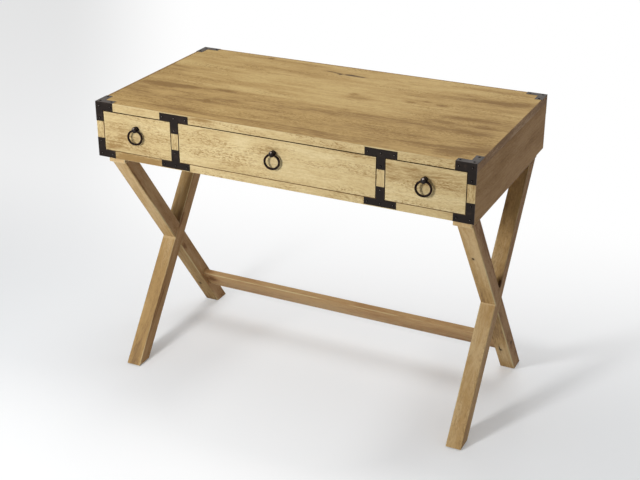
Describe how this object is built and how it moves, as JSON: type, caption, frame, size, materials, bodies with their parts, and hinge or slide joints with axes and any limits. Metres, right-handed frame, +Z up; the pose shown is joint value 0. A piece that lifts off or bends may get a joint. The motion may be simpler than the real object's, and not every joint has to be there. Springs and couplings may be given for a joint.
{
  "type": "campaign desk",
  "caption": "Wooden campaign writing desk: flush drawers with ring pulls, dark iron corner and tee plates, and crossed legs tied by a low stretcher.",
  "frame": {"origin": "on the floor, at the middle of the overall width and depth", "axes": "+X to the right along the desk's width, +Y to the back, +Z up; the drawers face -Y"},
  "size_m": [0.99, 0.5522, 0.7637],
  "materials": {
    "desk_wood": "waxed straw to golden brown hardwood, grain along each board",
    "drawer_wood": "plain sanded softwood inside the drawers",
    "dark_iron": "dark brown-black, low sheen",
    "dark_screw": "dark with worn heads",
    "bright_screw": "zinc plated",
    "glide_plastic": "brown nylon"
  },
  "bodies": {
    "frame": {"top_panel": "desk_wood", "bottom_panel": "desk_wood", "back_panel": "desk_wood", "left_side_panel": "desk_wood", "right_side_panel": "desk_wood", "left_divider": "desk_wood", "right_divider": "desk_wood", "front_left_corner_bracket": "dark_iron", "front_right_corner_bracket": "dark_iron", "back_left_corner_bracket": "dark_iron", "back_right_corner_bracket": "dark_iron", "lower_left_corner_plate": "dark_iron", "lower_right_corner_plate": "dark_iron", "upper_left_tee_plate": "dark_iron", "upper_right_tee_plate": "dark_iron", "lower_left_tee_plate": "dark_iron", "lower_right_tee_plate": "dark_iron", "top_plate_screws": "dark_screw", "front_plate_screws": "dark_screw", "back_plate_screws": "dark_screw", "drawer_stops": "drawer_wood", "left_front_leg": "desk_wood", "left_back_leg": "desk_wood", "right_front_leg": "desk_wood", "right_back_leg": "desk_wood", "left_batten": "desk_wood", "right_batten": "desk_wood", "batten_screws": "bright_screw", "stretcher": "desk_wood", "foot_glides": "glide_plastic"},
    "left_drawer": {"left_drawer_front": "desk_wood", "left_drawer_left_side": "drawer_wood", "left_drawer_right_side": "drawer_wood", "left_drawer_back": "drawer_wood", "left_drawer_bottom": "drawer_wood", "left_pull_post": "dark_iron", "left_pull_screw": "bright_screw"},
    "centre_drawer": {"centre_drawer_front": "desk_wood", "centre_drawer_left_side": "drawer_wood", "centre_drawer_right_side": "drawer_wood", "centre_drawer_back": "drawer_wood", "centre_drawer_bottom": "drawer_wood", "centre_pull_post": "dark_iron", "centre_pull_screw": "bright_screw"},
    "right_drawer": {"right_drawer_front": "desk_wood", "right_drawer_left_side": "drawer_wood", "right_drawer_right_side": "drawer_wood", "right_drawer_back": "drawer_wood", "right_drawer_bottom": "drawer_wood", "right_pull_post": "dark_iron", "right_pull_screw": "bright_screw"},
    "left_ring": {"left_pull_ring": "dark_iron"},
    "centre_ring": {"centre_pull_ring": "dark_iron"},
    "right_ring": {"right_pull_ring": "dark_iron"}
  },
  "joints": [
    {"name": "left_drawer_slide", "type": "slide", "parent": "frame", "child": "left_drawer", "axis": [0, -1, 0], "range_m": [0, 0.36]},
    {"name": "centre_drawer_slide", "type": "slide", "parent": "frame", "child": "centre_drawer", "axis": [0, -1, 0], "range_m": [0, 0.36]},
    {"name": "right_drawer_slide", "type": "slide", "parent": "frame", "child": "right_drawer", "axis": [0, -1, 0], "range_m": [0, 0.36]},
    {"name": "left_ring_swing", "type": "hinge", "parent": "left_drawer", "child": "left_ring", "pos_m": [-0.3775, -0.26863, 0.70505], "axis": [-1, 0, 0], "range_deg": [-10, 120]},
    {"name": "centre_ring_swing", "type": "hinge", "parent": "centre_drawer", "child": "centre_ring", "pos_m": [0, -0.26863, 0.70505], "axis": [-1, 0, 0], "range_deg": [-10, 120]},
    {"name": "right_ring_swing", "type": "hinge", "parent": "right_drawer", "child": "right_ring", "pos_m": [0.3775, -0.26863, 0.70505], "axis": [-1, 0, 0], "range_deg": [-10, 120]}
  ]
}
